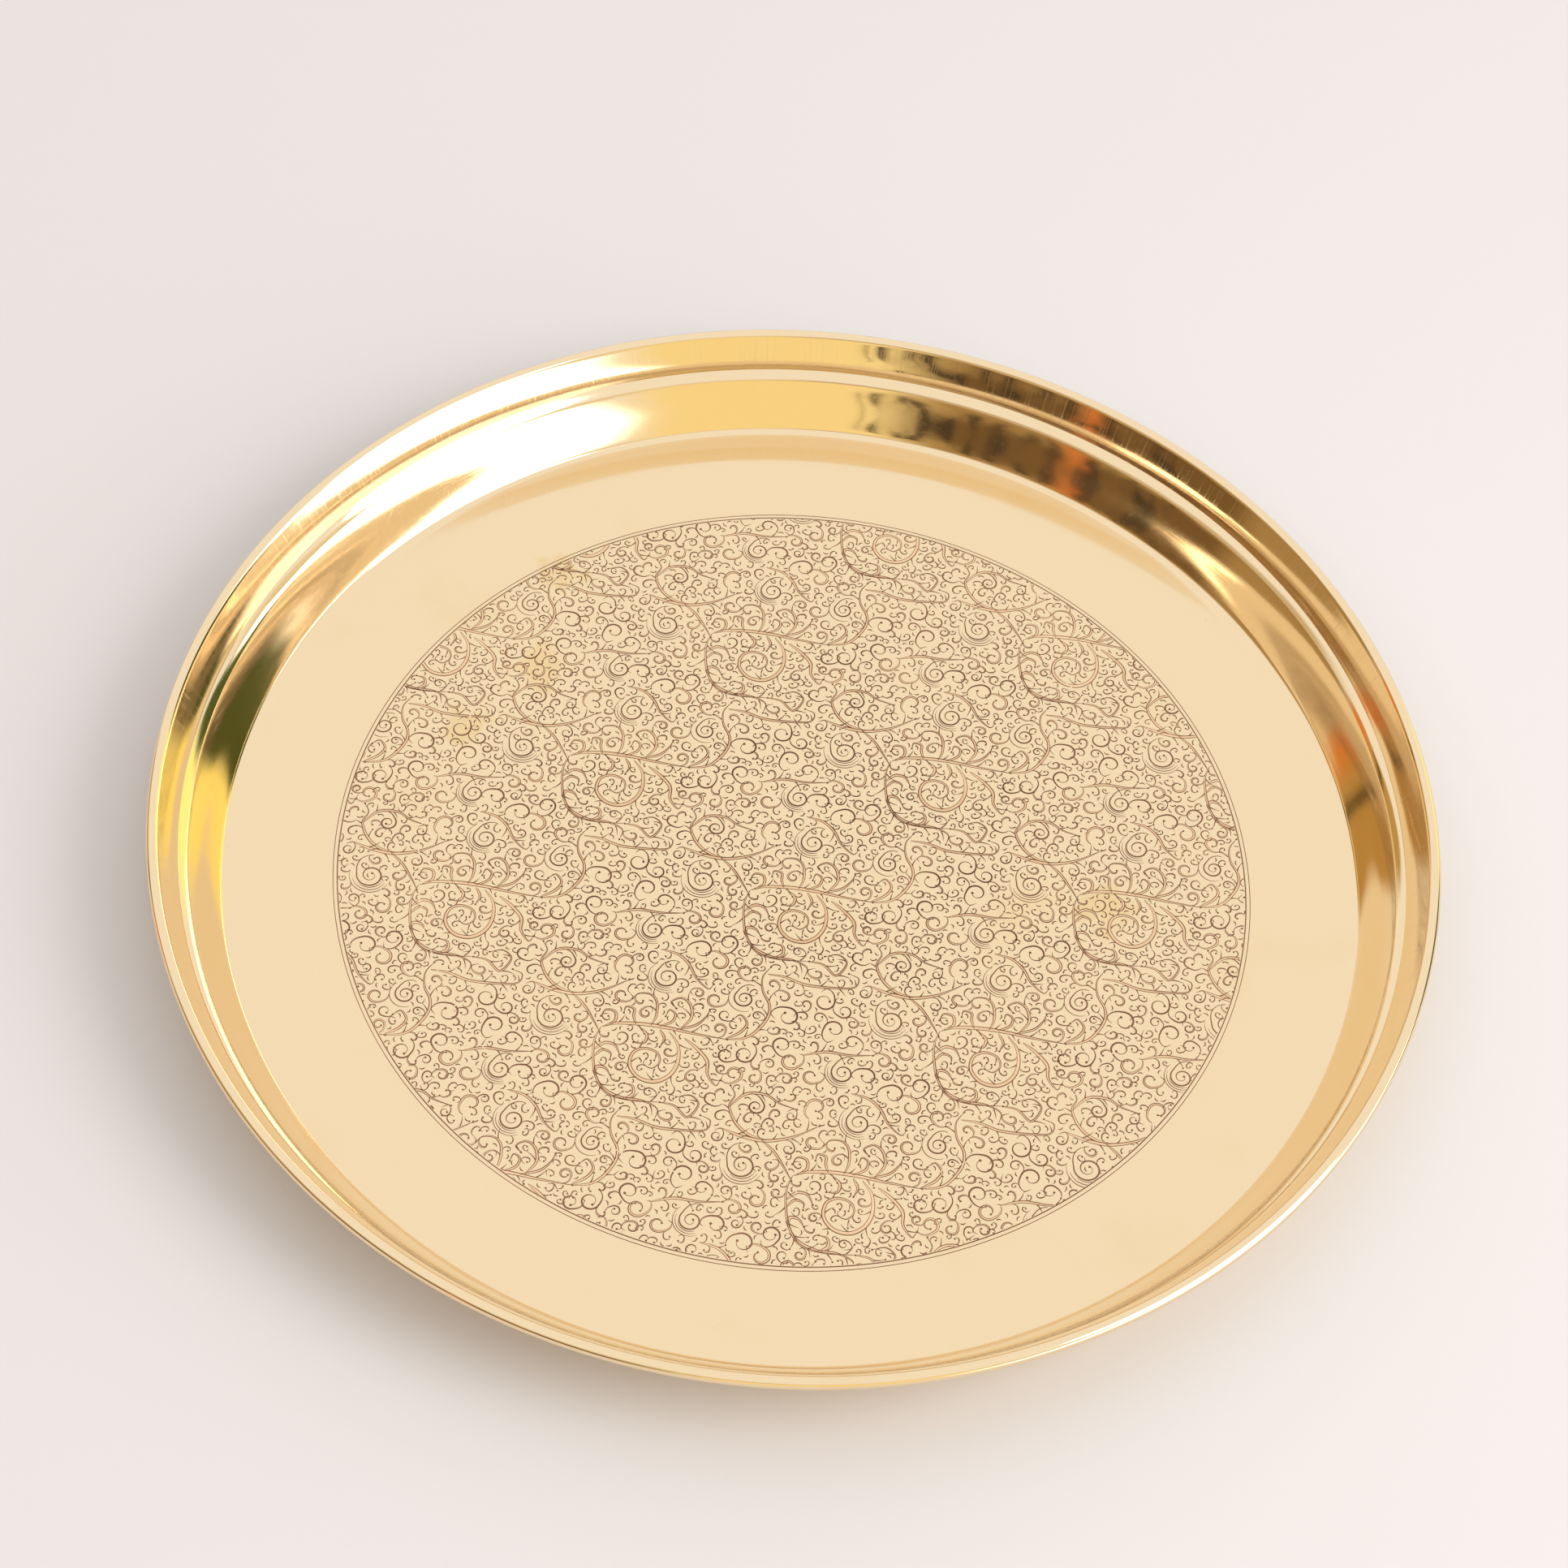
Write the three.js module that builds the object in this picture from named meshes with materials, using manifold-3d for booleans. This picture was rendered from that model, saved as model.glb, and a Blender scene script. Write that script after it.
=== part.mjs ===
// Round serving tray in polished brass: a spun pan whose edge is curled over a stiffening wire, with
// a border cut into the floor as two fine concentric grooves that hold a dark wax fill.
// Units are millimetres, +Z is up, and the tray stands on Z = 0 with its axis on X = Y = 0.

import * as THREE from 'three';
import { mergeVertices } from 'three/addons/utils/BufferGeometryUtils.js';
import Module from 'manifold-3d';

// ---------- Driving dimensions ----------

const SHEET = 0.7;                 // brass sheet thickness

const FLOOR_RADIUS = 136.5;        // where the floor's top face would meet the lower wall
const FLOOR_FILLET = 2.0;          // radius between the floor and the lower wall, on the top face
const WALL_SLOPE = 59;             // lower wall, in degrees from level

const SHOULDER_START = 143.6;      // radius where the lower wall turns over into the shoulder
const SHOULDER_END = 145.6;        // radius of the crisp corner at the foot of the upper wall
const SHOULDER_SLOPE = 42;
const SHOULDER_ROUND = 2.2;
const CORNER_ROUND = 0.3;

const UPPER_WALL_FOOT = 76;        // slope of the upper wall at its foot
const UPPER_WALL_TOP = 50;         // and where it runs into the curled edge

const RIM_RADIUS = 152.5;          // widest point of the curled edge
const CURL_RADIUS = 1.5;           // outside radius of the curled edge
const CURL_TURN = 289;             // degrees the edge is rolled through, which leaves it just open

const WIRE_RADIUS = 0.7;           // stiffening wire inside the curled edge
const WIRE_BUTT_GAP = 0.5;         // between the two cut ends of the wire

const BORDER_CENTRE = { x: 0.4, y: -2.8 };  // the border is cut a little off the tray's axis
const BORDER_RADIUS = 110.2;       // centre line of the outer groove
const BORDER_SPACING = 1.0;        // from the outer groove to the inner one
const GROOVE_WIDTH = 0.5;
const GROOVE_DEPTH = 0.3;
const FILL_CLEARANCE = 0.05;       // between the wax and the faces of its groove

const RING_SEGMENTS = 64;          // facets round every ring

// ---------- Materials ----------

const brass = new THREE.MeshStandardMaterial({ color: 0xe3ba68, roughness: 0.12, metalness: 1 });
const steel = new THREE.MeshStandardMaterial({ color: 0x8e8f92, roughness: 0.4, metalness: 1 });
const wax = new THREE.MeshStandardMaterial({ color: 0x5b4033, roughness: 0.7, metalness: 0 });

// ---------- Path of the sheet ----------

const radians = THREE.MathUtils.degToRad;

// Walks along the sheet's top face in the half plane of radius and height, and notes each point with
// its heading. A left turn bends the sheet up, and a right turn rolls it over and down.
class SheetPath {
  constructor(height) {
    this.point = new THREE.Vector2(0, height);
    this.heading = 0;
    this.stations = [];
    this.note();
  }

  note() {
    this.stations.push({ point: this.point.clone(), heading: this.heading });
  }

  unit(heading) {
    return new THREE.Vector2(Math.cos(radians(heading)), Math.sin(radians(heading)));
  }

  lineToRadius(radius) {
    const along = this.unit(this.heading);
    this.point.addScaledVector(along, (radius - this.point.x) / along.x);
    this.note();
  }

  arcToHeading(heading, radius, steps) {
    const quarter = heading > this.heading ? 90 : -90;
    const centre = this.point.clone().addScaledVector(this.unit(this.heading + quarter), radius);
    const turn = (heading - this.heading) / steps;
    for (let step = 0; step < steps; step += 1) {
      this.heading += turn;
      this.point.copy(centre).addScaledVector(this.unit(this.heading + quarter), -radius);
      this.note();
    }
    return centre;
  }

  // An arc to a new heading that ends at the given radius from the tray's axis.
  arcToRadius(heading, endRadius, steps) {
    const sineChange = Math.abs(Math.sin(radians(this.heading)) - Math.sin(radians(heading)));
    this.arcToHeading(heading, (endRadius - this.point.x) / sineChange, steps);
  }

  topFace() {
    return this.stations.map(({ point }) => point.clone());
  }

  underside(thickness) {
    return this.stations.map(
      ({ point, heading }) => point.clone().addScaledVector(this.unit(heading - 90), thickness),
    );
  }
}

// How far short of a corner a fillet starts, measured along the edge it leaves.
const filletSetback = (radius, turn) => radius * Math.tan(radians(turn) / 2);

function traceSheet() {
  const path = new SheetPath(SHEET);
  path.lineToRadius(FLOOR_RADIUS - filletSetback(FLOOR_FILLET, WALL_SLOPE));
  path.arcToHeading(WALL_SLOPE, FLOOR_FILLET, 4);

  const shoulderSetback = filletSetback(SHOULDER_ROUND, WALL_SLOPE - SHOULDER_SLOPE);
  path.lineToRadius(SHOULDER_START - shoulderSetback * Math.cos(radians(WALL_SLOPE)));
  path.arcToHeading(SHOULDER_SLOPE, SHOULDER_ROUND, 3);
  path.lineToRadius(SHOULDER_END);
  path.arcToHeading(UPPER_WALL_FOOT, CORNER_ROUND, 2);

  const curlStart = RIM_RADIUS - CURL_RADIUS * (1 + Math.sin(radians(UPPER_WALL_TOP)));
  path.arcToRadius(UPPER_WALL_TOP, curlStart, 4);
  const curlCentre = path.arcToHeading(UPPER_WALL_TOP - CURL_TURN, CURL_RADIUS, 11);
  return { path, curlCentre };
}

// ---------- Solids ----------

const wasm = await Module();
wasm.setup();

function toSolid(geometry) {
  const bare = geometry.clone();
  bare.deleteAttribute('normal');
  bare.deleteAttribute('uv');
  const merged = mergeVertices(bare, 1e-4);
  const corners = merged.index.array;
  const triangles = [];
  for (let i = 0; i < corners.length; i += 3) {
    const [a, b, c] = corners.slice(i, i + 3);
    if (a !== b && b !== c && c !== a) triangles.push(a, b, c);
  }
  return new wasm.Manifold(new wasm.Mesh({
    numProp: 3,
    vertProperties: new Float32Array(merged.attributes.position.array),
    triVerts: new Uint32Array(triangles),
  }));
}

function toGeometry(solid) {
  const { vertProperties, triVerts } = solid.getMesh();
  const geometry = new THREE.BufferGeometry();
  geometry.setAttribute('position', new THREE.BufferAttribute(vertProperties, 3));
  geometry.setIndex(new THREE.BufferAttribute(triVerts, 1));
  geometry.computeVertexNormals();
  return geometry;
}

// LatheGeometry turns about Y, so every lathe is stood up to turn about Z.
function lathe(outline) {
  return new THREE.LatheGeometry(outline, RING_SEGMENTS).rotateX(Math.PI / 2);
}

function rectangularRing(radius, width, bottom, top) {
  const inner = radius - width / 2;
  const outer = radius + width / 2;
  const corners = [[inner, bottom], [outer, bottom], [outer, top], [inner, top], [inner, bottom]];
  const ring = lathe(corners.map(([r, z]) => new THREE.Vector2(r, z)));
  return ring.translate(BORDER_CENTRE.x, BORDER_CENTRE.y, 0);
}

// ---------- Parts ----------

const grooveRadii = [BORDER_RADIUS, BORDER_RADIUS - BORDER_SPACING];
const grooveBottom = SHEET - GROOVE_DEPTH;

function trayPan(path) {
  const outline = [...path.underside(SHEET), ...path.topFace().reverse()];
  let pan = toSolid(lathe(outline));
  for (const radius of grooveRadii) {
    pan = pan.subtract(toSolid(rectangularRing(radius, GROOVE_WIDTH, grooveBottom, 2 * SHEET)));
  }
  return new THREE.Mesh(toGeometry(pan), brass);
}

// The open ring that the wire follows, from one side of its butt joint round to the other.
class WireLine extends THREE.Curve {
  constructor(centre) {
    super();
    this.radius = centre.x;
    this.height = centre.y;
  }

  getPoint(t, target = new THREE.Vector3()) {
    const halfGap = WIRE_BUTT_GAP / 2 / this.radius;
    const angle = THREE.MathUtils.lerp(halfGap, 2 * Math.PI - halfGap, t);
    return target.set(this.radius * Math.cos(angle), this.radius * Math.sin(angle), this.height);
  }
}

function rimWire(curlCentre) {
  const section = new THREE.Shape().absarc(0, 0, WIRE_RADIUS, 0, 2 * Math.PI);
  const geometry = new THREE.ExtrudeGeometry(section, {
    steps: RING_SEGMENTS,
    curveSegments: 8,
    extrudePath: new WireLine(curlCentre),
  });
  return new THREE.Mesh(geometry, steel);
}

function borderFill(radius) {
  const width = GROOVE_WIDTH - 2 * FILL_CLEARANCE;
  const ring = rectangularRing(radius, width, grooveBottom + FILL_CLEARANCE, SHEET - FILL_CLEARANCE);
  return new THREE.Mesh(ring, wax);
}

const { path, curlCentre } = traceSheet();
const parts = {
  tray_pan: trayPan(path),
  rim_wire: rimWire(curlCentre),
  border_fill_outer: borderFill(grooveRadii[0]),
  border_fill_inner: borderFill(grooveRadii[1]),
};

const tray = new THREE.Group();
for (const [name, mesh] of Object.entries(parts)) {
  mesh.name = name;
  tray.add(mesh);
}

export default tray;
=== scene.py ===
"""Round engraved brass tray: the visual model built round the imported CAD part, its studio and camera."""

import math

import bpy
import numpy as np
from mathutils import Matrix, Vector


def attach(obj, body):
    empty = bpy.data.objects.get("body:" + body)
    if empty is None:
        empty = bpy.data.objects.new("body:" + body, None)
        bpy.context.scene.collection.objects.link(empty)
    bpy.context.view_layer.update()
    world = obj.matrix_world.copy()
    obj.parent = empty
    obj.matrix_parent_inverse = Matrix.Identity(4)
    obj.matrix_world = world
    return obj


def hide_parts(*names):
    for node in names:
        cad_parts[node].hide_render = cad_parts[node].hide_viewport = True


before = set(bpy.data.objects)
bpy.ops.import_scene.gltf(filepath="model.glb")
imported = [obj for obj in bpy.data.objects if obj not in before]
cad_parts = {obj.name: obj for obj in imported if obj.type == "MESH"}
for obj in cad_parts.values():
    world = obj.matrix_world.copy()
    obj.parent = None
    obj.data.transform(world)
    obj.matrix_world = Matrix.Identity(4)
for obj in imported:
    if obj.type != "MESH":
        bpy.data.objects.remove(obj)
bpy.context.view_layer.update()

MM = 0.001

# ---------- The sheet's profile, in millimetres and degrees, as the CAD model has it ----------

SHEET = 0.7
FLOOR_RADIUS = 136.5
FLOOR_FILLET = 2.0
WALL_SLOPE = 59
SHOULDER_START = 143.6
SHOULDER_END = 145.6
SHOULDER_SLOPE = 42
SHOULDER_ROUND = 2.2
CORNER_ROUND = 0.3
UPPER_WALL_FOOT = 76
UPPER_WALL_TOP = 50
RIM_RADIUS = 152.5
CURL_RADIUS = 1.5
CURL_TURN = 289

CURL_START = RIM_RADIUS - CURL_RADIUS * (1 + math.sin(math.radians(UPPER_WALL_TOP)))

BORDER_CENTRE = np.array([0.4, -2.8])
BORDER_RADIUS = 110.2
BORDER_SPACING = 1.0

# What the CAD model leaves out: the floor dips a little before it meets the wall, the lower wall is
# steepest half way up, the shoulder is slightly rounded and the upper wall a little straighter.
DIP_START = 121.0
DIP_END = 134.5
DIP_DEPTH = 0.45
LOWER_WALL_SWAY = 0.05
SHOULDER_SWAY = 0.08
UPPER_WALL_FLATTENING = 0.3

# The spun wall is not quite true: waves round it, and how far they would stand out with one wave in all.
WAVES_ROUND = (5, 9, 13, 19, 29, 43, 61)
WAVE_SIZE = 0.13
WAVE_FADE_IN = (1, 5)
WAVE_FADE_OUT = (14, 9)
WAVES_LEFT_AT_TOP = 0.15

PAN_SEGMENTS = 600
CURL_STEPS = 24


# ---------- Profile ----------

def unit(heading):
    return np.array([math.cos(math.radians(heading)), math.sin(math.radians(heading))])


def fraction(value, low, high):
    return np.clip((value - low) / (high - low), 0, 1)


def smooth_step(value, low, high):
    t = fraction(value, low, high)
    return t * t * (3 - 2 * t)


class SheetPath:
    """Walks along the sheet's top face in the half plane of radius and height."""

    def __init__(self, height):
        self.point = np.array([0.0, height])
        self.heading = 0.0
        self.stations = []
        self.note()

    def note(self):
        self.stations.append((*self.point, self.heading))

    def line_to_radius(self, radius, steps):
        start = self.point.copy()
        end = start + unit(self.heading) * (radius - start[0]) / unit(self.heading)[0]
        for step in range(1, steps + 1):
            self.point = start + (end - start) * step / steps
            self.note()

    def arc_to_heading(self, heading, radius, steps):
        quarter = 90 if heading > self.heading else -90
        centre = self.point + unit(self.heading + quarter) * radius
        turn = (heading - self.heading) / steps
        for _ in range(steps):
            self.heading += turn
            self.point = centre - unit(self.heading + quarter) * radius
            self.note()

    def arc_to_radius(self, heading, end_radius, steps):
        sine_change = abs(unit(self.heading)[1] - unit(heading)[1])
        self.arc_to_heading(heading, (end_radius - self.point[0]) / sine_change, steps)


def fillet_setback(radius, turn):
    return radius * math.tan(math.radians(turn) / 2)


def trace_sheet():
    path = SheetPath(SHEET)
    path.line_to_radius(DIP_START, 1)
    path.line_to_radius(FLOOR_RADIUS - fillet_setback(FLOOR_FILLET, WALL_SLOPE), 10)
    path.arc_to_heading(WALL_SLOPE, FLOOR_FILLET, 8)
    setback = fillet_setback(SHOULDER_ROUND, WALL_SLOPE - SHOULDER_SLOPE)
    path.line_to_radius(SHOULDER_START - setback * unit(WALL_SLOPE)[0], 14)
    path.arc_to_heading(SHOULDER_SLOPE, SHOULDER_ROUND, 4)
    path.line_to_radius(SHOULDER_END, 5)
    path.arc_to_heading(UPPER_WALL_FOOT, CORNER_ROUND, 4)
    path.arc_to_radius(UPPER_WALL_TOP, CURL_START, 12)
    path.arc_to_heading(UPPER_WALL_TOP - CURL_TURN, CURL_RADIUS, CURL_STEPS)
    return np.array(path.stations)


def link(name, vertices, faces, material):
    """A mesh object from vertices in metres and arrays of faces, one array for each number of corners."""
    mesh = bpy.data.meshes.new(name)
    mesh.vertices.add(len(vertices))
    mesh.vertices.foreach_set("co", np.asarray(vertices, float).ravel())
    loops = np.concatenate([np.asarray(f, int).ravel() for f in faces])
    sizes = np.concatenate([np.full(len(f), np.asarray(f).shape[1]) for f in faces])
    starts = np.concatenate([[0], np.cumsum(sizes)[:-1]])
    mesh.loops.add(len(loops))
    mesh.loops.foreach_set("vertex_index", loops)
    mesh.polygons.add(len(sizes))
    mesh.polygons.foreach_set("loop_start", starts)
    mesh.polygons.foreach_set("loop_total", sizes)
    mesh.update(calc_edges=True)
    mesh.validate()
    mesh.materials.append(material)
    obj = bpy.data.objects.new(name, mesh)
    bpy.context.scene.collection.objects.link(obj)
    return obj


def floor_dip(radius):
    """How far the top face lies below a flat floor and a straight wall."""
    down = smooth_step(radius, DIP_START, DIP_END)
    up = smooth_step(radius, FLOOR_RADIUS, SHOULDER_START)
    return DIP_DEPTH * down * (1 - up)


def sway(radius):
    """How far the walls and shoulder stand out from their lines in the CAD, square to the sheet."""
    lower = fraction(radius, FLOOR_RADIUS, SHOULDER_START)
    shoulder = fraction(radius, SHOULDER_START, SHOULDER_END)
    upper = fraction(radius, SHOULDER_END, CURL_START)
    out = LOWER_WALL_SWAY * np.sin(2 * math.pi * lower)
    out -= SHOULDER_SWAY * np.sin(math.pi * shoulder)
    out += UPPER_WALL_FLATTENING * 4 * upper * (1 - upper)
    return out


def wall_waves(angles, along):
    """Small dents and swellings, square to the sheet; along is the distance up the wall."""
    random = np.random.default_rng(11)
    waves = np.zeros((len(along), len(angles)))
    for count in WAVES_ROUND:
        phase, drift = random.uniform(0, 2 * math.pi, 2)
        lean = random.uniform(-0.12, 0.12) * along[:, None]
        swell = 0.6 + 0.4 * np.cos(along[:, None] * random.uniform(0.1, 0.35) + drift)
        waves += WAVE_SIZE / count * swell * np.sin(count * angles[None] + phase + lean)
    return waves


def pan_rings():
    """Rings of points round the axis: out along the top face to the cut edge, and back underneath."""
    stations = trace_sheet()[1:]
    radius = stations[:, 0]
    outward = np.array([unit(heading - 90) for heading in stations[:, 2]])
    steps = np.hypot(*np.diff(stations[:, :2], axis=0, prepend=stations[:1, :2]).T)
    along = np.cumsum(np.where(radius > FLOOR_RADIUS - 1, steps, 0))
    # The dents fade out before the floor, and all but a little before the curl.
    fade_in = smooth_step(along, *WAVE_FADE_IN)
    fade_out = smooth_step(along, *(along[-1] - np.array(WAVE_FADE_OUT)))
    strength = fade_in * (1 - (1 - WAVES_LEFT_AT_TOP) * fade_out)
    before_curl = np.arange(len(stations)) < len(stations) - CURL_STEPS
    angles = np.arange(PAN_SEGMENTS) * 2 * math.pi / PAN_SEGMENTS
    shift = wall_waves(angles, along) * strength[:, None] + (sway(radius) * before_curl)[:, None]
    top = stations[:, :2].copy()
    top[:, 1] -= floor_dip(radius) * before_curl
    under = stations[:, :2] + SHEET * outward
    faces = []
    for outline in (top, under):
        out = outline[:, :1] + shift * outward[:, :1]
        height = outline[:, 1:] + shift * outward[:, 1:]
        faces.append(np.stack([out * np.cos(angles), out * np.sin(angles), height], axis=-1))
    return np.concatenate([faces[0], faces[1][::-1]])


def tray_pan(material):
    rings = pan_rings()
    vertices = np.vstack([rings.reshape(-1, 3), [[0, 0, SHEET], [0, 0, 0]]]) * MM
    ring = np.arange(PAN_SEGMENTS)
    following = (ring + 1) % PAN_SEGMENTS
    quads = []
    for row in range(len(rings) - 1):
        low = row * PAN_SEGMENTS
        high = low + PAN_SEGMENTS
        quads.append(np.stack([low + ring, high + ring, high + following, low + following], axis=1))
    last = (len(rings) - 1) * PAN_SEGMENTS
    middle = len(rings) * PAN_SEGMENTS
    top_fan = np.stack([np.full(PAN_SEGMENTS, middle), ring, following], axis=1)
    under_fan = np.stack([np.full(PAN_SEGMENTS, middle + 1), last + following, last + ring], axis=1)
    pan = link("pan_spun_brass", vertices, [np.vstack(quads), top_fan, under_fan], material)
    pan.data.shade_smooth()
    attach(pan, "root")
    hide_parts("tray_pan")


# ---------- Engraving ----------

# The scroll pattern fills one cell and repeats along these two steps, in millimetres.
REPEAT = np.array([[78.70, 7.36], [47.26, -34.88]])

# Leaves and stems, given one by one: about how wide, then a few points along the middle, root first.
LEAVES = (
    # The plume, its fingers above and below, and the stem that leaves it for the next motif.
    (1.3, (-9.3, -11.3), (-6, -10), (0, -9.6), (6, -10), (12, -10.9), (20, -11.7)),
    (0.9, (-8.5, -11), (-6.4, -9.3), (-6.6, -6.9), (-8.8, -6.5), (-9.8, -8.4)),
    (0.8, (-1.5, -9.8), (-2.2, -7.6), (-2.3, -5.6), (-4.2, -5.2), (-4.6, -6.9)),
    (0.8, (2, -9.8), (3, -7), (2.8, -3.2), (1.2, -1.2), (-1.5, -1.2), (-3, -2.8)),
    (0.8, (4, -9.8), (6.8, -8.2), (7.4, -6), (5.9, -5), (5.2, -6.9)),
    (0.8, (8, -10.2), (12.3, -8.6), (14.6, -6), (15.3, -3.9)),
    (0.9, (9, -9.9), (11.2, -6.6), (10.6, -3), (8.4, -1.4), (6.1, -2.8), (7.4, -4.4)),
    (0.9, (19.5, -11.6), (22.8, -9.4), (24.2, -6.8), (22.6, -4.6), (20.9, -5.9)),
    (1.0, (20, -11.7), (24, -10.8), (26.6, -8.6), (28.9, -4.5), (29, -1), (27.2, 2.6), (26.9, 6.5),
     (28.6, 9.5)),
    (0.8, (4.2, -10.6), (5.4, -13), (4.6, -15.4)),
    (1.0, (-0.5, -10.6), (1.3, -12.4), (0.8, -14.6), (-1.6, -14.8)),
    (1.2, (10, -12.4), (13.2, -14.9), (15.8, -18), (16.2, -21.6), (18.3, -24.4), (19.3, -22.9)),
    # The great spiral under the plume.
    (1.4, (6.4, -11), (8.7, -14.4), (9.1, -19), (7.6, -22.7), (4.4, -24.8), (0.6, -24.2), (-1.8, -21.2),
     (-1.4, -17.6), (1.2, -16.1), (4.2, -17.1), (4.9, -19.6), (3.2, -21.3), (1.3, -20.3), (1.8, -18.9)),
    # The stem to the left of the spiral, and what hooks from it.
    (0.7, (-9.5, -11.3), (-10.6, -15), (-10.4, -20), (-9.2, -25), (-6.4, -29), (-1, -30.4), (6, -30.2)),
    (1.0, (-10.4, -17.6), (-8.2, -15.6), (-5.8, -16), (-4.4, -18.4)),
    (0.8, (-10.3, -19.6), (-8.6, -17.6), (-6.6, -18.2), (-6.5, -20)),
    (1.0, (-9.6, -24), (-9.3, -22.2), (-7.4, -22.4), (-6, -24.2)),
    (1.0, (-2.6, -30.3), (-0.4, -28.8), (-0.6, -26.6), (-2.6, -26)),
    (0.7, (6, -30.2), (9.4, -30.8), (12.6, -33.5), (14.9, -29.8), (12.8, -27.6), (9.6, -28.4)),
    # The leaves between the motifs.
    (1.2, (20.5, -35.5), (25.5, -37.2), (31, -37.8), (37, -36.2), (43, -32.6)),
    (1.0, (31, -37.6), (27, -36.6), (23.8, -33.8), (22, -29.6), (23, -26.4), (21.8, -24)),
    (0.9, (22, -29.6), (25.5, -25.9), (30, -25.6), (33.4, -27.6), (37.5, -28.8)),
    (0.9, (2.4, 11.7), (6.6, 10.6), (9.4, 8), (11.4, 4.4), (14.4, 1.8), (15.6, 3.2)),
    (0.9, (21.2, 19), (24, 14.6), (28.4, 12.4), (33.4, 12), (37, 10.2), (36.6, 7.2)),
    (0.9, (28, 7.4), (32.2, 7), (37, 5.4), (43, 5.2), (48.4, 5.8), (49.4, 8.4), (47, 9.6)),
    (0.8, (61.4, 4.6), (64.6, 1.6), (67.4, -2.6), (69, -5.4)),
    (0.9, (38, -14), (43, -12.6), (48.6, -12.9), (54, -12.4)),
)

# Spirals ringed by fine parallel lines: middle, radius, where they open in degrees, number of lines.
RINGED_SPIRALS = (
    ((4.5, 4.0), 5.2, 60, 4),
    ((0.0, 17.0), 4.8, 60, 4),
    ((23.0, 0.0), 4.3, 60, 2),
    ((57.5, -2.5), 5.8, 100, 4),
)
PLAIN_SPIRAL = ((28.0, -29.0), 3.6, 120)

POINT_SPACING = 0.34         # between the points of a stroke
THORN_SPACING = 4.2          # between the fingers along a large leaf
THORNED_LEAF_POINTS = 36     # leaves with more points than this carry fingers
SMALLEST_GAP = 0.86          # round gaps of a smaller radius stay empty
SMALLEST_CURL = 1.1          # gaps of a smaller radius take a comma, larger ones a curl
SMALL_CURLS = (1.5, 2.2)     # the two ranges a curl's radius is drawn from
LARGE_CURLS = (2.2, 4.2)
SMALL_CURL_SHARE = 0.3


def smooth_curve(points):
    """A Catmull-Rom curve through a few points."""
    points = np.array(points, float)
    points = np.vstack([2 * points[0] - points[1], points, 2 * points[-1] - points[-2]])
    parts = []
    for before, start, end, after in zip(points, points[1:], points[2:], points[3:]):
        count = max(2, int(np.linalg.norm(end - start) / POINT_SPACING))
        t = np.linspace(0, 1, count, endpoint=False)[:, None]
        square = 2 * before - 5 * start + 4 * end - after
        cube = 3 * start - before - 3 * end + after
        parts.append(0.5 * (2 * start + (end - before) * t + square * t ** 2 + cube * t ** 3))
    parts.append(points[-2:-1])
    return np.vstack(parts)


def sideways(curve):
    """Unit vectors to the left of a curve, one at each of its points."""
    along = np.gradient(curve, axis=0)
    along /= np.maximum(np.linalg.norm(along, axis=1, keepdims=True), 1e-9)
    return np.stack([-along[:, 1], along[:, 0]], axis=1)


def polar(angle):
    return np.stack([np.cos(angle), np.sin(angle)], axis=-1)


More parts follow.
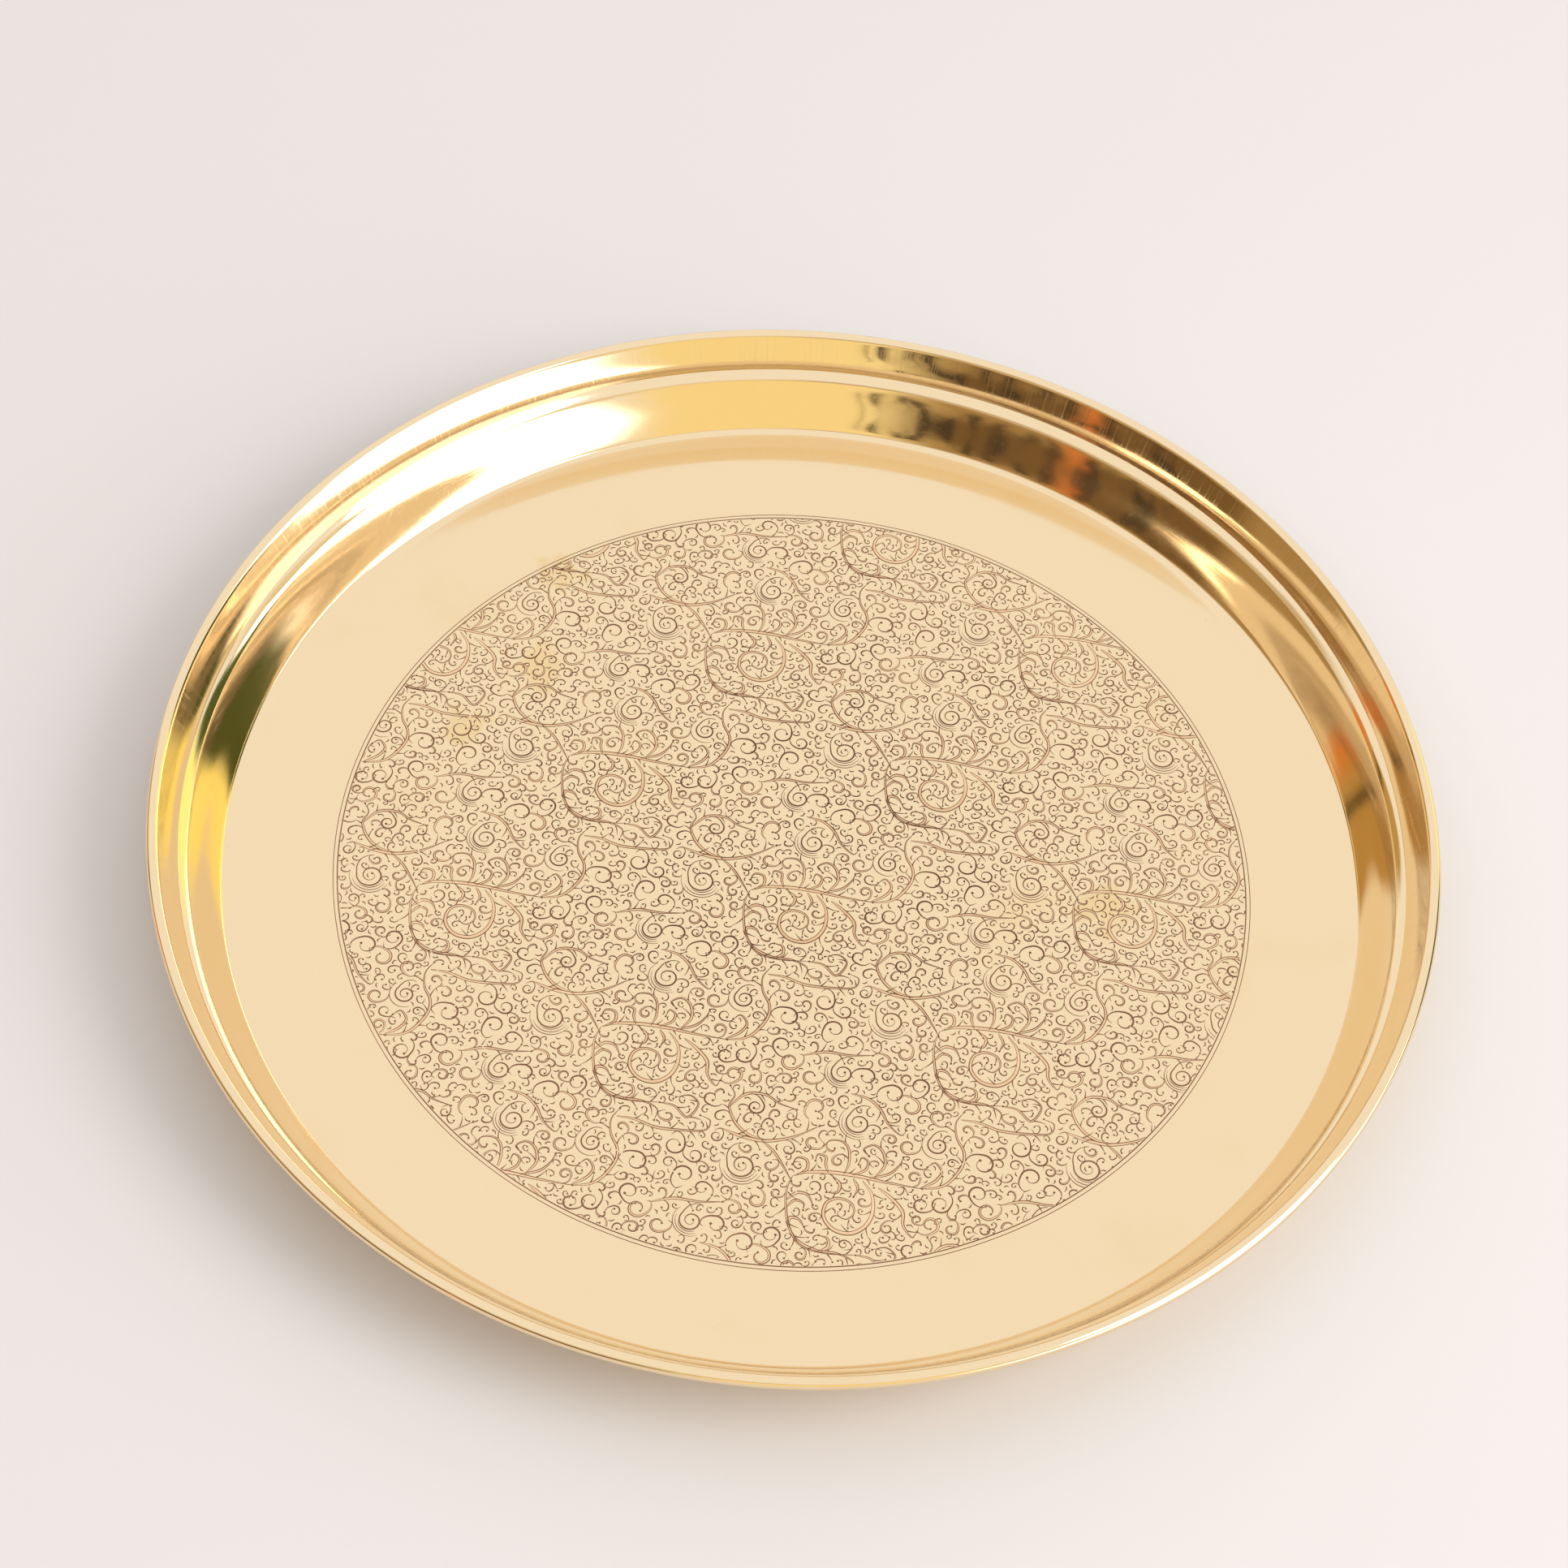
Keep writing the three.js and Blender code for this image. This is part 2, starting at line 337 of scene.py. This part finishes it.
class Scrollwork:
    """One cell of the pattern. Lines are cut dark, and fills are the paler bodies of the leaves."""

    GRID = np.array([200, 150])      # nodes along the two steps of the repeat
    PITCH = 0.39                     # about how far apart they are
    REACH = 10.5                     # how far from a stroke its distance is noted
    SLANT = np.array([1.1, 1.5])     # how much further that is along the slanting grid

    def __init__(self, seed):
        self.random = np.random.default_rng(seed)
        self.lines = []
        self.fills = []
        self.dots = []
        self.room = np.full(self.GRID, 1e3)
        self.nearest = np.zeros((*self.GRID, 4))
        self.window = self.nodes_within_reach()

    def nodes_within_reach(self):
        span_i, span_j = np.ceil(self.REACH * self.SLANT / self.PITCH).astype(int)
        i, j = np.mgrid[-span_i:span_i + 1, -span_j:span_j + 1]
        offset = (i / self.GRID[0])[..., None] * REPEAT[0] + (j / self.GRID[1])[..., None] * REPEAT[1]
        near = np.hypot(offset[..., 0], offset[..., 1]) < self.REACH
        return i[near], j[near], offset[near]

    def line(self, curve, half_width):
        self.lines.append((curve, np.broadcast_to(half_width, len(curve)).astype(float)))

    def dot(self, point, radius):
        self.dots.append((point, radius))

    def leaf(self, curve, width):
        """A pale body between two dark edges, ending in a small ball."""
        t = np.linspace(0, 1, len(curve))
        half = 0.36 * width * np.sin(math.pi * t ** 0.75) ** 0.8 * (1 - 0.35 * t)
        across = sideways(curve) * half[:, None]
        edge = 0.05 + 0.07 * np.sin(math.pi * t)
        self.fills.append((curve, half))
        self.line(curve + across, edge)
        self.line(curve - across, edge * 0.7)
        self.dot(curve[-1], 0.27)

    def thorns(self, curve, width):
        """Short hooked fingers along a large leaf, on one side and then the other."""
        left = sideways(curve)
        every = int(THORN_SPACING / POINT_SPACING)
        side = 1
        for i in range(every, len(curve) - every // 2, every):
            out = side * left[i]
            along = np.array([left[i][1], -left[i][0]])
            s = np.linspace(0, 1, 7)[:, None]
            length = self.random.uniform(1.4, 2.6)
            root = curve[i] + out * width * 0.3
            finger = root + length * (s * (0.75 * along + 0.45 * out) + 0.5 * s ** 2 * out)
            self.line(finger, 0.12 * (1 - s[:, 0] ** 2) + 0.03)
            if self.random.random() < 0.4:
                self.dot(finger[-1], 0.24)
            side = -side

    def spiral(self, centre, start, radius, hand, turns, inner):
        """Leaves the circle of that radius along its tangent and winds inward."""
        angle = hand * turns * 2 * math.pi
        s = np.linspace(0, 1, max(10, int(abs(angle) * radius * 0.6 / POINT_SPACING)))
        away = np.clip(s * turns * 360 / 80, 0, 1)
        shrink = 1 - (1 - inner) * (0.42 * away ** 2 * (3 - 2 * away) + 0.58 * s)
        return centre + radius * shrink[:, None] * polar(start + angle * s)

    def curl(self, curve, half_width):
        s = np.linspace(0, 1, len(curve))
        self.line(curve, half_width * (0.35 + 0.75 * np.sin(math.pi * np.clip(s * 1.25, 0, 1) ** 0.8)))
        self.dot(curve[-1], half_width * 1.3 + 0.07)

    def ringed_spiral(self, centre, radius, opening, rings):
        start = math.radians(opening)
        self.curl(self.spiral(np.array(centre), start, radius, 1, 1.9, 0.12), 0.18)
        s = np.linspace(0, 1, 40)
        for ring in range(1, rings):
            angle = start + 1.4 * (0.5 + ring * 0.35 + s * (2.4 - 0.35 * ring))
            reach = radius * (1 - 0.13 * ring) * (1 - 0.04 * s)
            arc = np.array(centre) + reach[:, None] * polar(angle)
            self.line(arc, 0.03 + 0.07 * np.sin(math.pi * s))

    def claim(self, curve, half_width, step=2):
        """Notes how close each point of the cell now is to something drawn, and to what."""
        i_window, j_window, offsets = self.window
        along = np.gradient(curve, axis=0) if len(curve) > 1 else np.zeros_like(curve)
        for point, half, tangent in zip(curve[::step], half_width[::step], along[::step]):
            place = point @ np.linalg.inv(REPEAT) * self.GRID
            node = np.round(place).astype(int)
            reach = offsets + (node - place) / self.GRID @ REPEAT
            distance = np.hypot(reach[:, 0], reach[:, 1]) - half
            i = (node[0] + i_window) % self.GRID[0]
            j = (node[1] + j_window) % self.GRID[1]
            closer = distance < self.room[i, j]
            i, j = i[closer], j[closer]
            self.room[i, j] = distance[closer]
            self.nearest[i, j, :2] = reach[closer]
            self.nearest[i, j, 2:] = tangent

    def branch(self, gap, radius, reach, tangent):
        """Grows a curl into an empty round gap from the nearest line."""
        random = self.random
        inward = reach / np.linalg.norm(reach)
        root = gap - reach
        parent = np.linalg.norm(reach) - radius
        sizes = SMALL_CURLS if random.random() < SMALL_CURL_SHARE else LARGE_CURLS
        size = min(radius, random.uniform(*sizes)) * random.uniform(0.95, 1.0)
        centre = root + inward * (size + parent * 0.6)
        start = math.atan2(-inward[1], -inward[0])
        forward = np.array([inward[1], -inward[0]])
        hand = 1 if forward @ tangent > 0 else -1
        turns = random.uniform(0.62, 0.9) if size < 1.9 else random.uniform(0.9, 1.35)
        if size > 1.7 and random.random() < 0.4:
            curve = self.spiral(centre, start, size * 0.97, hand, turns * 0.9, 0.3)
            self.leaf(curve, 0.2 * size + random.uniform(0, 0.2))
        else:
            curve = self.spiral(centre, start, size, hand, turns, random.uniform(0.22, 0.34))
            self.curl(curve, 0.09 + 0.028 * size + random.uniform(0, 0.02))
        self.claim(curve, np.full(len(curve), 0.2))
        self.claim(centre[None], np.array([0.6 * size]), 1)
        if random.random() < 0.5:
            s = np.linspace(0, 1, 6)[:, None]
            length = random.uniform(0.8, 1.7) * min(1, size / 1.8)
            out = 0.5 * inward - 0.75 * hand * forward
            thorn = root + inward * parent * 0.5 + length * (s * out + 0.35 * s ** 2 * inward)
            self.line(thorn, 0.11 * (1 - s[:, 0]) + 0.03)
            self.claim(thorn, self.lines[-1][1], 1)

    def comma(self, gap, radius):
        s = np.linspace(-1, 1, 7)
        length = radius * 1.35
        turn = self.random.uniform(0, 2 * math.pi)
        bow = np.stack([s * length * 0.5, 0.25 * length * (1 - s ** 2)], axis=1)
        curve = gap + bow @ np.array([polar(turn), polar(turn + math.pi / 2)])
        self.line(curve, 0.12 * np.sin(math.pi * (0.55 + 0.45 * s)) + 0.03)
        if self.random.random() < 0.4:
            self.dot(curve[0], 0.24)
        self.claim(curve, self.lines[-1][1], 1)
        self.claim(gap[None], np.array([radius * 0.45]), 1)

    def draw(self):
        for width, *points in LEAVES:
            curve = smooth_curve(points)
            self.leaf(curve, width)
            if len(curve) > THORNED_LEAF_POINTS:
                self.thorns(curve, width)
        for centre, radius, opening, rings in RINGED_SPIRALS:
            self.ringed_spiral(centre, radius, opening, rings)
        centre, radius, opening = PLAIN_SPIRAL
        self.curl(self.spiral(np.array(centre), math.radians(opening), radius, -1, 1.7, 0.15), 0.2)
        for curve, half_width in self.lines + self.fills:
            self.claim(curve, half_width)
        while True:
            node = np.unravel_index(np.argmax(self.room), self.room.shape)
            radius = self.room[node]
            gap = np.array(node) / self.GRID @ REPEAT
            if radius < SMALLEST_GAP:
                break
            if radius > SMALLEST_CURL:
                self.branch(gap, radius, self.nearest[node][:2], self.nearest[node][2:])
            else:
                self.comma(gap, radius)


ENGRAVED_RADIUS = BORDER_RADIUS - BORDER_SPACING - 0.2
ENGRAVED_ZONES = ((0, 62), (62, 90), (90, ENGRAVED_RADIUS))
CELLS = range(-4, 5)
LONGEST_STROKE = 50
FILL_HEIGHT = 0.008
LINE_HEIGHT = 0.02
LEVEL_STEP = 0.0007
LEVELS = 13
DOT_CORNERS = 8


class Ribbons:
    """Collects flat ribbons and discs that lie on the floor into one mesh."""

    def __init__(self, height):
        self.height = SHEET + height
        self.levels = []
        self.points = []
        self.quads = []
        self.count = 0

    def ribbon(self, curve, half_width):
        across = sideways(curve) * half_width[:, None]
        row = self.count + np.arange(len(curve) - 1)
        other = row + len(curve)
        self.points += [curve + across, curve - across]
        self.quads.append(np.stack([row + 1, row, other, other + 1], axis=1))
        self.settle(2 * len(curve))

    def disc(self, centre, radius):
        corners = np.arange(DOT_CORNERS) * 2 * math.pi / DOT_CORNERS
        self.points.append(centre + radius * polar(corners))
        self.quads.append(self.count + np.array([[0, 1, 2, 3], [0, 3, 4, 7], [4, 5, 6, 7]]))
        self.settle(DOT_CORNERS)

    def settle(self, added):
        """Strokes that cross must not share a plane, so each lies a little higher than the last."""
        self.levels.append(np.full(added, self.height + LEVEL_STEP * (len(self.levels) % LEVELS)))
        self.count += added

    def build(self, name, material):
        flat = np.vstack(self.points)
        vertices = np.column_stack([flat, np.concatenate(self.levels)]) * MM
        piece = link(name, vertices, [np.vstack(self.quads)], material)
        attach(piece, "root")
        return piece


def runs_inside(curve, low, high):
    """The stretches of a curve whose distance from the border's middle lies between two radii."""
    distance = np.hypot(*(curve - BORDER_CENTRE).T)
    inside = (distance >= low) & (distance < high)
    edges = np.flatnonzero(np.diff(np.concatenate([[0], inside.astype(int), [0]])))
    # Inside the border a stretch runs on by one point, to join the next zone's.
    overlap = 1 if high < ENGRAVED_RADIUS else 0
    pairs = zip(edges[::2], edges[1::2])
    return [slice(start, end + overlap) for start, end in pairs if end - start > 1]


def lay(strokes, shift, low, high, ribbons):
    """Adds the parts of one cell's strokes that lie between two radii."""
    for curve, half_width in strokes:
        placed = curve + shift
        if abs(placed[0] - BORDER_CENTRE).max() > ENGRAVED_RADIUS + LONGEST_STROKE:
            continue
        for run in runs_inside(placed, low, high):
            ribbons.ribbon(placed[run], half_width[run])


def engraving(line_material, fill_material):
    work = Scrollwork(seed=7)
    work.draw()
    shifts = [i * REPEAT[0] + j * REPEAT[1] for i in CELLS for j in CELLS]
    for number, (low, high) in enumerate(ENGRAVED_ZONES, 1):
        lines = Ribbons(LINE_HEIGHT)
        fills = Ribbons(FILL_HEIGHT)
        for shift in shifts:
            lay(work.lines, shift, low, high, lines)
            lay(work.fills, shift, low, high, fills)
            for point, radius in work.dots:
                if low <= math.dist(point + shift, BORDER_CENTRE) < high:
                    lines.disc(point + shift, radius)
        lines.build(f"scroll_lines_{number}", line_material)
        fills.build(f"scroll_leaves_{number}", fill_material)


def border_line(name, node, radius, half_width, material):
    angle = np.linspace(0, 2 * math.pi, 361)
    ring = Ribbons(LINE_HEIGHT)
    ring.ribbon(BORDER_CENTRE + radius * polar(angle), np.full(len(angle), half_width))
    piece = ring.build(name, material)
    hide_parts(node)


# ---------- Materials ----------

class Nodes:
    """A short way to write a node tree: each call adds a node and returns its first output."""

    def __init__(self, tree):
        self.tree = tree
        tree.nodes.clear()

    def add(self, kind, inputs=(), output=0, **settings):
        node = self.tree.nodes.new(kind)
        for name, value in settings.items():
            setattr(node, name, value)
        for socket, value in dict(inputs).items():
            self.put(node.inputs[socket], value)
        return node.outputs[output] if node.outputs else node

    def put(self, socket, value):
        if isinstance(value, bpy.types.NodeSocket):
            self.tree.links.new(value, socket)
        else:
            socket.default_value = value

    def maths(self, operation, *values, clamp=False):
        return self.add("ShaderNodeMath", enumerate(values), operation=operation, use_clamp=clamp)

    def add_scaled(self, value, other, factor):
        return self.maths("ADD", value, self.maths("MULTIPLY", other, factor))

    def ramp(self, value, low, high, to_low=0.0, to_high=1.0):
        inputs = {0: value, 1: low, 2: high, 3: to_low, 4: to_high}
        return self.add("ShaderNodeMapRange", inputs, interpolation_type="SMOOTHSTEP")

    def mix(self, factor, first, second):
        inputs = {0: factor, 6: first, 7: second}
        return self.add("ShaderNodeMix", inputs, output=2, data_type="RGBA")

    def noise(self, vector, scale, detail, **inputs):
        inputs.update(Vector=vector, Scale=scale, Detail=detail)
        return self.add("ShaderNodeTexNoise", inputs)

    def split(self, vector):
        node = self.tree.nodes.new("ShaderNodeSeparateXYZ")
        self.put(node.inputs[0], vector)
        return node.outputs

    def object_place(self):
        return self.add("ShaderNodeTexCoord", output=3)


def new_material(name):
    material = bpy.data.materials.new(name)
    material.use_nodes = True
    return material, Nodes(material.node_tree)


def finish_shader(n, **inputs):
    """Ends a material in one principled shader; underscores in the names stand for spaces."""
    named = {name.replace("_", " "): value for name, value in inputs.items()}
    shader = n.add("ShaderNodeBsdfPrincipled", named)
    n.add("ShaderNodeOutputMaterial", {"Surface": shader})


# Yellowed stains on the floor: middle in millimetres, and radius.
STAINS = (((-65, 81), 7), ((-68, 50), 9), ((-83, 29), 7), ((76, -7), 9))
STAIN_EDGE = 0.022           # how ragged a stain's edge is, in metres
BRASS = (0.905, 0.72, 0.46, 1)
TARNISH = (0.86, 0.62, 0.29, 1)
DULL = (0.80, 0.66, 0.50, 1)

# Fineness of the textures in the brass: of each noise per metre, and of the rings and wiping marks.
BLOTCH_SCALE = 26.0
EDGE_SCALE = 160.0
SCRATCH_SCALE = 700.0
PIT_SCALE = 140.0
RINGS_PER_METRE = 3500.0
MARKS_ROUND = 420.0

LINE_DARK = (0.11, 0.042, 0.016, 1)
LINE_PALE = (0.29, 0.14, 0.075, 1)
LEAF_DARK = (0.66, 0.43, 0.25, 1)
LEAF_PALE = (0.84, 0.62, 0.40, 1)
STEEL_DARK = (0.20, 0.20, 0.21, 1)
STEEL_PALE = (0.38, 0.38, 0.39, 1)
BACKDROP = (0.71, 0.685, 0.680, 1)


def stains(n, place, edges):
    """1 in the middle of each stain, falling to 0 across its ragged edge."""
    stain = 0.0
    for (across, along), size in STAINS:
        middle = (across * MM, along * MM, SHEET * MM)
        away = n.add("ShaderNodeVectorMath", {0: place, 1: middle}, output=1, operation="DISTANCE")
        away = n.add_scaled(away, n.maths("SUBTRACT", edges, 0.5), STAIN_EDGE)
        stain = n.maths("MAXIMUM", stain, n.ramp(away, size * MM, size * 0.35 * MM))
    return stain


def brass():
    material, n = new_material("polished_brass")
    place = n.object_place()
    x, y, z = n.split(place)
    flat = n.add("ShaderNodeCombineXYZ", {0: x, 1: y})
    radius = n.add("ShaderNodeVectorMath", {0: flat}, output=1, operation="LENGTH")
    around = n.add("ShaderNodeVectorMath", {0: flat}, operation="NORMALIZE")
    wall = n.ramp(radius, (FLOOR_RADIUS - 3) * MM, (FLOOR_RADIUS + 1) * MM)
    foot = n.ramp(radius, SHOULDER_END * MM, (SHOULDER_END + 1) * MM)
    top = n.ramp(radius, (RIM_RADIUS - 2.5) * MM, (RIM_RADIUS - 3.5) * MM)
    upper_wall = n.maths("MULTIPLY", foot, top)

    blotches = n.noise(place, BLOTCH_SCALE, 5.0)
    edges = n.noise(place, EDGE_SCALE, 4.0)
    stain = stains(n, place, edges)
    tarnish = n.maths("MAXIMUM", n.maths("MULTIPLY", stain, 0.6), n.ramp(blotches, 0.58, 0.8, 0, 0.35))

    # Fine scratches: across the upper wall from wiping, and round the axis from spinning and buffing.
    marks = n.add("ShaderNodeVectorMath", {0: around, 3: MARKS_ROUND}, operation="SCALE")
    wiped = n.maths("MULTIPLY", n.ramp(n.noise(marks, 1.0, 3.0), 0.52, 0.7), upper_wall)
    out = n.maths("MULTIPLY", radius, RINGS_PER_METRE)
    up = n.maths("MULTIPLY", z, RINGS_PER_METRE)
    spun = n.noise(n.add("ShaderNodeCombineXYZ", {0: out, 1: up}), 1.0, 2.0)
    scratches = n.noise(place, SCRATCH_SCALE, 6.0, Distortion=2.0)
    pits = n.add("ShaderNodeTexVoronoi", {"Vector": place, "Scale": PIT_SCALE})
    pits = n.maths("MULTIPLY", n.ramp(pits, 0.03, 0.055, 1.0, 0.0), n.ramp(edges, 0.55, 0.6))
    dull = n.maths("MAXIMUM", n.maths("MULTIPLY", wiped, 0.35), pits)

    rough = n.ramp(blotches, 0.3, 0.75, 0.05, 0.1)
    rough = n.add_scaled(rough, n.ramp(scratches, 0.5, 0.7), 0.04)
    rough = n.add_scaled(rough, wiped, 0.12)
    rough = n.add_scaled(rough, stain, 0.08)
    relief = n.add_scaled(n.maths("MULTIPLY", spun, wall), scratches, 0.3)
    finish_shader(
        n,
        Base_Color=n.mix(dull, n.mix(tarnish, BRASS, TARNISH), DULL),
        Metallic=1.0,
        Roughness=rough,
        Normal=n.add("ShaderNodeBump", {"Height": relief, "Strength": 0.12, "Distance": 0.00002}),
    )
    return material


def engraved(name, dark, pale):
    """The fill of the engraving, which is paler where it is worn and towards the border."""
    material, n = new_material(name)
    place = n.object_place()
    worn = n.noise(place, 55.0, 3.0)
    distance = n.add("ShaderNodeVectorMath", {0: place}, output=1, operation="LENGTH")
    outward = n.maths("MULTIPLY", n.ramp(distance, 0.02, 0.115), 0.45)
    fade = n.maths("ADD", outward, n.ramp(worn, 0.45, 0.75, 0.0, 0.5), clamp=True)
    finish_shader(
        n,
        Base_Color=n.mix(fade, dark, pale),
        Roughness=n.ramp(worn, 0.3, 0.7, 0.45, 0.65),
        Specular_IOR_Level=0.2,
    )
    return material


def wire_steel():
    material, n = new_material("wire_steel")
    grain = n.noise(n.object_place(), 900.0, 3.0)
    finish_shader(
        n,
        Base_Color=n.mix(grain, STEEL_DARK, STEEL_PALE),
        Metallic=1.0,
        Roughness=n.ramp(grain, 0.3, 0.7, 0.3, 0.5),
    )
    return material


def rim_wire():
    """The CAD wire keeps its shape and gets the better steel."""
    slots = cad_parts["rim_wire"].data.materials
    slots.clear()
    slots.append(wire_steel())


def backdrop():
    material, n = new_material("backdrop")
    finish_shader(n, Base_Color=BACKDROP, Roughness=0.9)
    bpy.ops.mesh.primitive_plane_add(size=12, location=(0, 0, 0))
    plane = bpy.context.object
    plane.name = "studio_floor"
    plane.data.materials.append(material)


# ---------- Light ----------

# What stands round the tray and shows in its polish: azimuth and half width, lowest and highest
# elevation, softness of the edge and lean of the sides, all in degrees, and the colour. Azimuth 0 is to
# the right and 90 behind. Later patches cover earlier ones.
SKY = (
    (-40, 62, 18, 32, 6, 0, (0.90, 0.78, 0.56)),
    (-135, 52, 16, 33, 8, 0, (0.66, 0.53, 0.36)),
    (-142, 48, -9, 20, 5, 0, (0.42, 0.27, 0.11)),
    (-127, 32, -9, 12, 4, 0, (0.20, 0.115, 0.045)),
    (-131, 2, -9, 15, 2, 0, (0.80, 0.26, 0.07)),
    (157, 13, -9, 20, 3, 0, (0.55, 0.36, 0.12)),
    (159, 1.2, -9, 18, 1.5, 0, (0.10, 0.07, 0.03)),
    (166, 2.5, -9, 22, 2, 0, (0.75, 0.27, 0.06)),
    (-80, 22, -9, 24, 7, 0, (1.05, 0.88, 0.47)),
    (41, 9, -9, 24, 4, 0, (1.3, 1.25, 0.5)),
    (12, 22, -9, 24, 3, 0, (0.09, 0.12, 0.03)),
    (-31, 32, -9, 22, 5, 1.0, (3.2, 3.15, 3.1)),
)
SKY_COLOUR = (1.0, 0.985, 0.98, 1)
SKY_UNEVENNESS = 0.16        # how ragged the patches are, in radians

# Narrow dark uprights across some of the brown patches.
BARS = (-122, 28, -9, 15, 3, 0)
BAR_COLOUR = (0.07, 0.05, 0.03, 1)
BARS_ACROSS = 26.0
BARS_UP = 5.0

LIGHT_AZIMUTH = -18
LIGHT_ELEVATION = 42
LIGHT_DISTANCE = 1.5
LIGHT_SIZE = 0.9
LIGHT_POWER = 8.5


def sky_patch(n, azimuth, elevation, patch):
    """1 inside a patch of sky, falling smoothly to 0 outside it."""
    middle, half, low, high, soft, lean = patch
    away = n.maths("SUBTRACT", azimuth, math.radians(middle))
    away = n.maths("SUBTRACT", away, n.maths("MULTIPLY", elevation, lean))
    away = n.maths("ABSOLUTE", n.maths("WRAP", away, math.pi, -math.pi))
    side = n.ramp(away, math.radians(half - soft), math.radians(half + soft), 1.0, 0.0)
    above = n.ramp(elevation, math.radians(low - soft / 2), math.radians(low + soft / 2))
    below = n.ramp(elevation, math.radians(high - soft / 2), math.radians(high + soft / 2), 1.0, 0.0)
    return n.maths("MULTIPLY", side, n.maths("MULTIPLY", above, below))


def room():
    world = bpy.data.worlds.new("room")
    bpy.context.scene.world = world
    world.use_nodes = True
    n = Nodes(world.node_tree)
    direction = n.add("ShaderNodeTexCoord", output=0)
    x, y, z = n.split(direction)
    uneven = n.maths("SUBTRACT", n.noise(direction, 7.0, 4.0), 0.5)
    uneven = n.maths("MULTIPLY", uneven, SKY_UNEVENNESS)
    azimuth = n.maths("ADD", n.maths("ARCTAN2", y, x), uneven)
    elevation = n.maths("ADD", n.maths("ARCSINE", z), uneven)

    colour = SKY_COLOUR
    for *patch, tint in SKY:
        colour = n.mix(sky_patch(n, azimuth, elevation, patch), colour, (*tint, 1))
    across = n.maths("MULTIPLY", azimuth, BARS_ACROSS)
    up = n.maths("MULTIPLY", elevation, BARS_UP)
    bars = n.noise(n.add("ShaderNodeCombineXYZ", {0: across, 1: up}), 1.0, 2.0)
    bars = n.maths("MULTIPLY", n.ramp(bars, 0.50, 0.56), sky_patch(n, azimuth, elevation, BARS))
    background = n.add("ShaderNodeBackground", {"Color": n.mix(bars, colour, BAR_COLOUR)})
    n.add("ShaderNodeOutputWorld", {"Surface": background})


def window_light():
    """A soft light from the right, above the tray and a little in front of it."""
    data = bpy.data.lights.new("window_light", "AREA")
    data.shape = "DISK"
    data.size = LIGHT_SIZE
    data.energy = LIGHT_POWER
    obj = bpy.data.objects.new("window_light", data)
    bpy.context.scene.collection.objects.link(obj)
    azimuth = math.radians(LIGHT_AZIMUTH)
    elevation = math.radians(LIGHT_ELEVATION)
    across = math.cos(elevation)
    towards = Vector((across * math.cos(azimuth), across * math.sin(azimuth), math.sin(elevation)))
    obj.location = LIGHT_DISTANCE * towards
    obj.rotation_euler = towards.to_track_quat("Z", "Y").to_euler()


# ---------- Camera ----------

CAMERA_PITCH = 53.69
CAMERA_ROLL = 5.29
CAMERA_DISTANCE = 874.1
CAMERA_AIM = Vector((-3.8, 20.9, 0.7))
FOCAL_LENGTH = 82.06


def camera():
    data = bpy.data.cameras.new("camera")
    data.lens = FOCAL_LENGTH
    data.sensor_width = 36
    data.clip_start = 0.05
    obj = bpy.data.objects.new("camera", data)
    bpy.context.scene.collection.objects.link(obj)
    obj.matrix_world = (
        Matrix.Translation(CAMERA_AIM * MM)
        @ Matrix.Rotation(math.radians(90 - CAMERA_PITCH), 4, "X")
        @ Matrix.Rotation(math.radians(CAMERA_ROLL), 4, "Z")
        @ Matrix.Translation((0, 0, CAMERA_DISTANCE * MM))
    )
    bpy.context.scene.camera = obj


lines = engraved("engraved_lines", LINE_DARK, LINE_PALE)
leaves = engraved("engraved_leaves", LEAF_DARK, LEAF_PALE)
tray_pan(brass())
engraving(lines, leaves)
border_line("border_line_outer", "border_fill_outer", BORDER_RADIUS, 0.09, lines)
border_line("border_line_inner", "border_fill_inner", BORDER_RADIUS - BORDER_SPACING, 0.14, lines)
rim_wire()
backdrop()
room()
window_light()
camera()
bpy.context.scene.view_settings.view_transform = "Standard"
